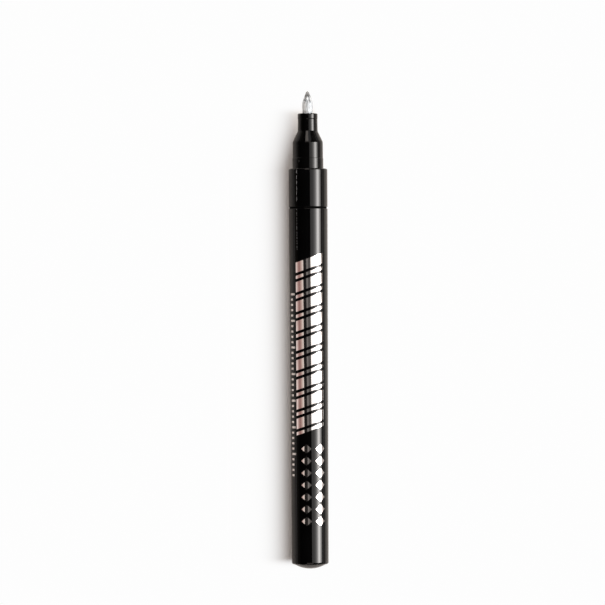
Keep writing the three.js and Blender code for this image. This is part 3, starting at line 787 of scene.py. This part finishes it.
def nib_material():
    """Fibre soaked with metal paint: shade, gloss and height follow lines along the rod, painted light makes
    the left side paler than the right, and dark streaks grow denser towards the point until they close over
    it."""
    material = bpy.data.materials.new("metal_paint_on_fibre")
    material.use_nodes = True
    tree = material.node_tree
    shader = tree.nodes["Principled BSDF"]
    place = add_node(tree, "ShaderNodeTexCoord").outputs["Object"]
    spot = add_node(tree, "ShaderNodeSeparateXYZ", {0: place}).outputs
    drawn_out = add_node(tree, "ShaderNodeMapping", {"Vector": place, "Scale": NIB_STRETCH}).outputs[0]
    fibres = add_node(
        tree, "ShaderNodeTexNoise", {"Vector": drawn_out, "Scale": NIB_FIBRE_SCALE, "Detail": 4}
    ).outputs["Fac"]
    streaks = add_node(
        tree, "ShaderNodeTexNoise", {"Vector": drawn_out, "Scale": NIB_STREAK_SCALE, "Detail": 3}
    ).outputs["Fac"]
    # Painted light: the colour is scaled paler on the left and darker on the right, for the light each side
    # gets.
    painted_light_share = remap(tree, spot["X"], (-nib_radius, nib_radius), NIB_PAINTED_LIGHT_SHARES)
    painted_lit_fibres = scaled(tree, colour_ramp(tree, fibres, NIB_FIBRE_SHADES), painted_light_share)
    # The nib is darker towards the point: dark streaks grow denser there until they close over it.
    darkened_part = (nib_high.y - NIB_DARKENED_LENGTH, nib_high.y)
    darkening = calculate(tree, "ADD", streaks, remap(tree, spot["Y"], darkened_part, (0, NIB_DARKENING_AT_TIP)))
    dark_streak_share = remap(tree, darkening, NIB_DARK_STREAK_EDGE, (0, NIB_DARK_STREAK_COVER))
    bump = add_node(tree, "ShaderNodeBump", {"Height": fibres, "Distance": NIB_FIBRE_HEIGHT})
    tree.links.new(mixed(tree, dark_streak_share, painted_lit_fibres, NIB_DARK_STREAK_COLOUR), shader.inputs["Base Color"])
    tree.links.new(remap(tree, fibres, NOISE_SPREAD, NIB_ROUGHNESS), shader.inputs["Roughness"])
    tree.links.new(bump.outputs[0], shader.inputs["Normal"])
    shader.inputs["Metallic"].default_value = NIB_METAL_SHARE
    shader.inputs["Specular IOR Level"].default_value = NIB_GLOSS
    shader.inputs["Subsurface Weight"].default_value = 1
    shader.inputs["Subsurface Radius"].default_value = (1, 1, 1)
    shader.inputs["Subsurface Scale"].default_value = NIB_SCATTER
    return material


nib.data.materials.append(nib_material())
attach(nib, "nib")
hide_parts("nib")

# The valve's moulded pieces are white and natural plastic: the nib holder, the stem, the body and the
# retainer. The washer and gasket are red rubber, the O-ring black, and the mixing ball is bright steel. All
# keep the shapes of the frame and get their finish here.
white_plastic = moulded_material(
    "white_plastic", (0.78, 0.78, 0.76), roughness=0.38, streaks=0.05, ripple_size=1500,
    ripple_height=2e-6, dust=0.1,
)
natural_plastic = moulded_material(
    "natural_plastic", (0.7, 0.68, 0.62), roughness=0.42, streaks=0.05, ripple_size=1500,
    ripple_height=2e-6, dust=0.1,
)
valve_rubber = moulded_material(
    "valve_rubber", (0.16, 0.03, 0.022), roughness=0.7, streaks=0.08, ripple_size=2400,
    ripple_height=4e-6, dust=0.2,
)
seal_rubber = moulded_material(
    "seal_rubber", (0.012, 0.012, 0.013), roughness=0.62, streaks=0.08, ripple_size=2400,
    ripple_height=4e-6, dust=0.2,
)
bright_steel = moulded_material(
    "bright_steel", (0.62, 0.62, 0.63), roughness=0.22, streaks=0.06, ripple_size=900,
    ripple_height=1e-6, dust=0.05,
)
bright_steel.node_tree.nodes["Principled BSDF"].inputs["Metallic"].default_value = 1
inner_finishes = {
    "nib_holder": white_plastic,
    "valve_body": white_plastic,
    "spring_retainer": white_plastic,
    "valve_stem": natural_plastic,
    "poppet_washer": valve_rubber,
    "valve_gasket": valve_rubber,
    "barrel_seal_ring": seal_rubber,
    "mixing_ball": bright_steel,
}
for node, finish in inner_finishes.items():
    for material_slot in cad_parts[node].material_slots:
        material_slot.material = finish

# The valve spring is one steel wire, wound in open turns with a close turn at each end.
SPRING_WIRE_RADIUS = 0.0002
SPRING_TURNS = 9
SPRING_CLOSE_TURNS = 2
SPRING_END_PITCH = 0.0005
SPRING_STEPS_PER_TURN = 24
SPRING_WIRE_SIDES = 12

spring_low, spring_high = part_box("valve_spring")
spring_length = spring_high.y - spring_low.y
open_turns = SPRING_TURNS - SPRING_CLOSE_TURNS
open_length = spring_length - 2 * SPRING_WIRE_RADIUS - SPRING_CLOSE_TURNS * SPRING_END_PITCH
open_pitch = open_length / open_turns
wire_start = (0, spring_low.y + SPRING_WIRE_RADIUS, spring_high.z - SPRING_WIRE_RADIUS)
bpy.ops.object.select_all(action="DESELECT")
bpy.ops.mesh.primitive_circle_add(
    vertices=SPRING_WIRE_SIDES, radius=SPRING_WIRE_RADIUS, location=wire_start, rotation=(0, math.pi / 2, 0)
)
spring = bpy.context.object
spring.name = spring.data.name = "coil_spring"
bpy.ops.object.transform_apply(location=True, rotation=True, scale=True)
bpy.ops.object.mode_set(mode="EDIT")
bpy.ops.mesh.select_mode(type="VERT")
bpy.ops.mesh.select_all(action="SELECT")
for turn_number in range(SPRING_TURNS):
    pitch = open_pitch if 0 < turn_number <= open_turns else SPRING_END_PITCH
    rise = pitch / SPRING_STEPS_PER_TURN
    for step in range(SPRING_STEPS_PER_TURN):
        bpy.ops.mesh.extrude_region_move(TRANSFORM_OT_translate={"value": (0, rise, 0)})
        bpy.ops.transform.rotate(
            value=math.tau / SPRING_STEPS_PER_TURN, orient_axis="Y", center_override=(0, 0, axis_z)
        )
bpy.ops.mesh.select_all(action="SELECT")
bpy.ops.mesh.region_to_loop()
bpy.ops.mesh.edge_face_add()
bpy.ops.mesh.select_all(action="SELECT")
bpy.ops.mesh.normals_make_consistent(inside=False)
bpy.ops.object.mode_set(mode="OBJECT")
bpy.ops.object.shade_smooth_by_angle(angle=SMOOTH_ANGLE)
spring.data.materials.append(bright_steel)
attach(spring, "housing")
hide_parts("valve_spring")
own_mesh(spring)

# Lamps stand for the studio's soft boxes: a large panel on the right that is brightest low down, panels
# beyond the ends, a warm wall on the left and a dim strip overhead. In the photograph black plastic stays
# black beside foil that mirrors the wall. So wall and strip spare both, and the foil has lamps of its own.
LAMP_DISTANCE = 0.7
STRIP_DISTANCE = 1.0
KEY_LEVELS = [
    (0.0, 0.062), (0.17, 0.06), (0.26, 0.081), (0.34, 0.115), (0.42, 0.2), (0.5, 0.34), (0.585, 0.74),
    (0.67, 1.0), (0.76, 0.7), (0.87, 0.29), (1.0, 0.15),
]
WALL_LEVELS = [(0.0, 1.0), (0.12, 0.85), (0.3, 0.55), (0.6, 0.45), (0.78, 0.75), (1.0, 1.0)]
FOIL_STRIP_LEVELS = [
    (0.0, 0.7), (0.11, 0.65), (0.28, 0.33), (0.42, 0.35), (0.63, 1.0), (0.89, 0.85), (1.0, 0.8),
]
FOIL_WALL_COLOURS = [
    (0.03, (0, 0, 0)), (0.05, (0.9, 0.8, 0.73)), (0.14, (0.87, 0.76, 0.69)), (0.26, (0.66, 0.5, 0.45)),
    (0.37, (0.5, 0.34, 0.3)), (0.49, (0.34, 0.19, 0.175)), (0.6, (0.39, 0.23, 0.205)),
    (0.73, (0.55, 0.39, 0.36)), (0.87, (0.87, 0.72, 0.69)), (1.0, (1, 0.88, 0.85)),
]
FOIL_SIDE_HEADINGS = (45, 90, 135, 225, 270, 315)


def grey(levels):
    """Turns levels of brightness into greys, for a profile."""
    return [(position, (level, level, level)) for position, level in levels]


def soft_box(
    name, zenith, heading, width, length, radiance, colour=(1, 1, 1), profile=(), distance=LAMP_DISTANCE,
    spares=(), only=(),
):
    """Hangs a panel that faces the marker. Zenith and heading are degrees; heading 0 is +X, 90 is +Y. The
    profile colours it from its upper edge to its lower one. It lights all but the pieces that it spares, or
    only the pieces given."""
    tilt, turn_angle = math.radians(zenith), math.radians(heading)
    away = distance * math.sin(tilt)
    place = (away * math.cos(turn_angle), away * math.sin(turn_angle), axis_z + distance * math.cos(tilt))
    bpy.ops.object.light_add(type="AREA", location=place, rotation=(0, tilt, turn_angle))
    lamp = bpy.context.object
    lamp.name = name
    lamp.data.shape = "RECTANGLE"
    lamp.data.size = width
    lamp.data.size_y = length
    lamp.data.color = colour
    lamp.data.energy = math.pi * width * length * radiance
    if profile:
        lamp.data.use_nodes = True
        tree = lamp.data.node_tree
        place_on_lamp = add_node(tree, "ShaderNodeNewGeometry").outputs["Parametric"]
        across = add_node(tree, "ShaderNodeSeparateXYZ", {0: place_on_lamp}).outputs["X"]
        tree.links.new(colour_ramp(tree, across, profile), tree.nodes["Emission"].inputs["Color"])
    if spares or only:
        linked = bpy.data.collections.new(name)
        for piece in spares or only:
            linked.objects.link(piece)
        for member in linked.collection_objects:
            member.light_linking.link_state = "EXCLUDE" if spares else "INCLUDE"
        lamp.light_linking.receiver_collection = linked


soft_box(
    "key_panel", zenith=46, heading=0, width=0.94, length=0.39, radiance=21.1, colour=(1, 0.965, 0.94),
    profile=grey(KEY_LEVELS),
)
soft_box("nose_panel", zenith=51, heading=97, width=0.3, length=0.2, radiance=3.4, colour=(1, 0.9, 0.82))
soft_box("nose_fill", zenith=51, heading=78, width=0.3, length=0.24, radiance=0.8)
for name, heading in (("nose_top", 90), ("tail_top", -90)):
    soft_box(name, zenith=28, heading=heading, width=0.3, length=0.5, radiance=1.05, colour=(1, 0.87, 0.81))
plastic_and_foil = [barrel, plug, collar, nose, bush] + foil_marks
soft_box(
    "left_wall", zenith=57, heading=180, width=0.71, length=0.5, radiance=0.38, colour=(1, 0.74, 0.68),
    profile=grey(WALL_LEVELS), spares=plastic_and_foil,
)
soft_box(
    "top_strip", zenith=2, heading=0, width=0.3, length=0.6, radiance=0.16, distance=STRIP_DISTANCE,
    spares=plastic_and_foil,
)
soft_box(
    "foil_wall", zenith=57, heading=180, width=0.71, length=0.5, radiance=0.8, profile=FOIL_WALL_COLOURS,
    only=foil_marks,
)
soft_box(
    "foil_strip", zenith=3.3, heading=180, width=0.38, length=0.6, radiance=0.17, colour=(1, 0.95, 0.91),
    profile=grey(FOIL_STRIP_LEVELS), distance=STRIP_DISTANCE, only=foil_marks,
)
for heading in FOIL_SIDE_HEADINGS:
    soft_box(
        f"foil_side_{heading}", zenith=72, heading=heading, width=0.3, length=0.56, radiance=0.5,
        colour=(1, 0.94, 0.91), only=foil_marks,
    )

# The marker lies on a white table. The camera sees it white but for the marker's own soft shadow, which lies
# to the left. Reflections see it lit by the lamps, darkened on each side by painted shade, and white far
# away.
TABLE_SIZE = 6
TABLE_COLOUR = (0.88, 0.85, 0.815, 1)
TABLE_ROUGHNESS = 0.9
TABLE_GLOSS = 0.1
WHITE_LEVEL = 0.985
SHADOW_REACH = 0.0038
SHADOW_FALL = 1.6
SHADOW_DEPTH = 0.93
SHADOW_SIDE_SPEED = 14
SHADOW_END_SPEED = 3.2
SHADOW_TAIL_SETBACK = 0.0026
SHADOW_RIGHT_SHARE = 0.7
NECK_SHADOW_HALF_WIDTH = 0.0015
# Painted shade darkens the table's colour in glossy reflections, past these edges and down to these shares.
RIGHT_PAINTED_SHADE_EDGE = (0.024, 0.034)
RIGHT_PAINTED_SHADE = 0.25
LEFT_PAINTED_SHADE_EDGE = (-0.045, -0.012)
LEFT_PAINTED_SHADE = 0.45
FADE_TO_WHITE = (0.16, 0.4)

bpy.ops.mesh.primitive_plane_add(size=TABLE_SIZE, location=(0, 0, 0))
table = bpy.context.object
table.name = "table"
table_white = bpy.data.materials.new("table_white")
table_white.use_nodes = True
tree = table_white.node_tree
shader = tree.nodes["Principled BSDF"]
shader.inputs["Roughness"].default_value = TABLE_ROUGHNESS
shader.inputs["Specular IOR Level"].default_value = TABLE_GLOSS
place = add_node(tree, "ShaderNodeTexCoord").outputs["Object"]
spot = add_node(tree, "ShaderNodeSeparateXYZ", {0: place}).outputs
rays = add_node(tree, "ShaderNodeLightPath").outputs


def vector_node(operation, *values):
    """Adds a Vector Math node to the table's material, and returns its outputs."""
    return add_node(tree, "ShaderNodeVectorMath", dict(enumerate(values)), operation=operation).outputs


# The shadow is deepest at the marker's outline. It fades fastest on the right, and faster past the ends than
# on the left.
right_half = (0, cad_high.x)
half_width = calculate(
    tree, "MULTIPLY",
    remap(tree, spot["Y"], (shoulder_y, bush_high.y), (cad_high.x, NECK_SHADOW_HALF_WIDTH)),
    remap(tree, spot["X"], right_half, (1, SHADOW_RIGHT_SHARE)),
)
side_speed = remap(tree, spot["X"], right_half, (1, SHADOW_SIDE_SPEED))
shadow_middle = (bush_high.y + cad_low.y + SHADOW_TAIL_SETBACK) / 2
half_size = add_node(tree, "ShaderNodeCombineXYZ", {"X": half_width, "Y": bush_high.y - shadow_middle})
speed = add_node(tree, "ShaderNodeCombineXYZ", {"X": side_speed, "Y": SHADOW_END_SPEED})
from_middle = vector_node("ABSOLUTE", vector_node("SUBTRACT", place, (0, shadow_middle, 0))[0])[0]
beside = vector_node("MAXIMUM", vector_node("SUBTRACT", from_middle, half_size.outputs[0])[0], (0, 0, 0))[0]
gap = vector_node("LENGTH", vector_node("MULTIPLY", beside, speed.outputs[0])[0])["Value"]
fading = calculate(tree, "POWER", calculate(tree, "DIVIDE", gap, SHADOW_REACH), SHADOW_FALL)
shaded = calculate(tree, "EXPONENT", calculate(tree, "SUBTRACT", 0, fading))
unshaded = calculate(tree, "MULTIPLY_ADD", shaded, -SHADOW_DEPTH, 1)
seen_white = calculate(tree, "MULTIPLY", rays["Is Camera Ray"], unshaded)

# In reflections the table turns white far from the marker.
far_white = remap(tree, vector_node("LENGTH", place)["Value"], FADE_TO_WHITE, (0, 1))
mirrored = calculate(tree, "MAXIMUM", rays["Is Glossy Ray"], rays["Is Transmission Ray"])
mirrored_white = calculate(tree, "MULTIPLY", mirrored, far_white)

# In glossy reflections painted shade darkens it on each side, as a black flag would.
painted_shade = calculate(
    tree, "MULTIPLY", remap(tree, spot["X"], RIGHT_PAINTED_SHADE_EDGE, (1, RIGHT_PAINTED_SHADE)),
    remap(tree, spot["X"], LEFT_PAINTED_SHADE_EDGE, (LEFT_PAINTED_SHADE, 1)),
)
painted_shade_colour = scaled(tree, TABLE_COLOUR[:3], painted_shade)
tree.links.new(mixed(tree, rays["Is Glossy Ray"], TABLE_COLOUR, painted_shade_colour), shader.inputs["Base Color"])

white = add_node(tree, "ShaderNodeEmission", {"Strength": WHITE_LEVEL}).outputs[0]
white_share = calculate(tree, "MAXIMUM", seen_white, mirrored_white)
blend = add_node(tree, "ShaderNodeMixShader", {0: white_share, 1: shader.outputs[0], 2: white})
tree.links.new(blend.outputs[0], tree.nodes["Material Output"].inputs["Surface"])
table.data.materials.append(table_white)

# Beyond the lamps the studio is nearly dark, with a faint warm glow low down. The camera sees it white, so
# that the picture stays white past the table's edge.
HORIZON_LEVEL = 0.16
SKY_LEVEL = 0.003
GLOW_TOP = 0.48
STUDIO_TINT = (1, 0.88, 0.76, 1)
PLAIN_WHITE = (1, 1, 1, 1)

world = bpy.data.worlds.new("studio")
world.use_nodes = True
bpy.context.scene.world = world
tree = world.node_tree
seen = add_node(tree, "ShaderNodeLightPath").outputs["Is Camera Ray"]
direction = add_node(tree, "ShaderNodeTexCoord").outputs["Generated"]
height = add_node(tree, "ShaderNodeSeparateXYZ", {0: direction}).outputs["Z"]
glow = remap(tree, height, (0, GLOW_TOP), (HORIZON_LEVEL, SKY_LEVEL))
background = tree.nodes["Background"]
tree.links.new(mixed(tree, seen, STUDIO_TINT, PLAIN_WHITE), background.inputs["Color"])
tree.links.new(calculate(tree, "MAXIMUM", glow, seen), background.inputs["Strength"])
bpy.context.scene.view_settings.view_transform = "Standard"
